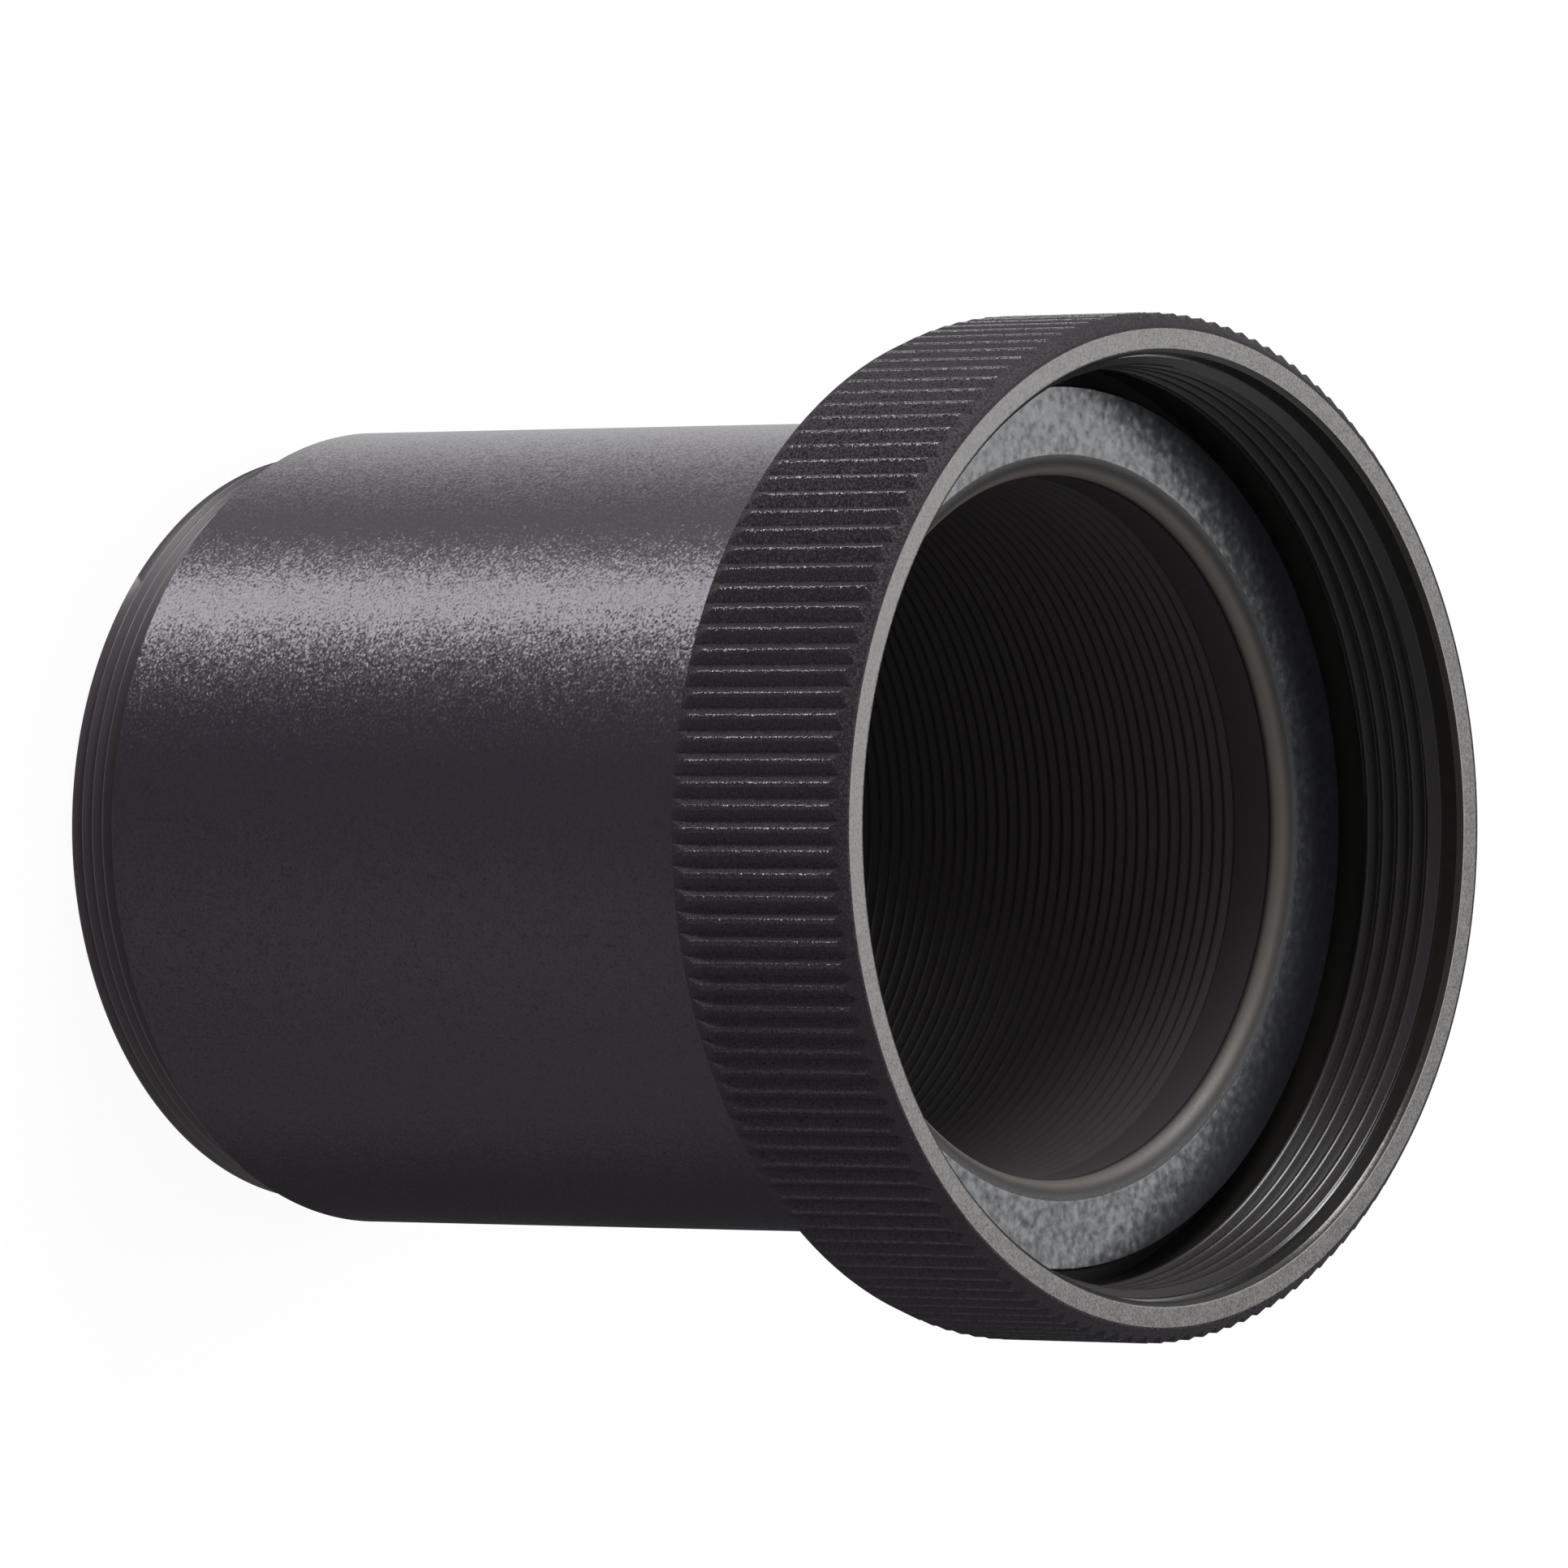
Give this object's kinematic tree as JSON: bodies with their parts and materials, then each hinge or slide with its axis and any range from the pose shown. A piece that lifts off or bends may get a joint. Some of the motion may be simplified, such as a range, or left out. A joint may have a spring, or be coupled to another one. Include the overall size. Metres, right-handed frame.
{
  "type": "telescope t-adapter",
  "caption": "Tubular camera adapter for a telescope: a T-threaded black tube with a bored flange and a captive, freely turning knurled coupling ring.",
  "frame": {"origin": "centre of the T-thread end, on the optical axis, on the plane that the adapter stands on", "axes": "+Z along the optical axis, from the camera's T-thread towards the telescope; the split of the retaining ring faces +X"},
  "size_m": [0.0555, 0.0554, 0.0614],
  "materials": {
    "blasted_black_anodised": "bead blasted, black anodised, satin",
    "turned_black_anodised": "turned and knurled, black anodised, semi-matt",
    "spring_steel_wire": "drawn wire, lightly oiled"
  },
  "bodies": {
    "adapter_tube": {"barrel": "blasted_black_anodised"},
    "snap_ring": {"retaining_ring": "spring_steel_wire"},
    "coupling": {"coupling_ring": "turned_black_anodised"}
  },
  "joints": [
    {"name": "coupling_float", "type": "slide", "parent": "adapter_tube", "child": "snap_ring", "axis": [0, 0, 1], "range_m": [0, 0.0005]},
    {"name": "coupling_turn", "type": "hinge", "parent": "snap_ring", "child": "coupling", "pos_m": [0, 0, 0.05546], "axis": [0, 0, 1], "continuous": true}
  ]
}
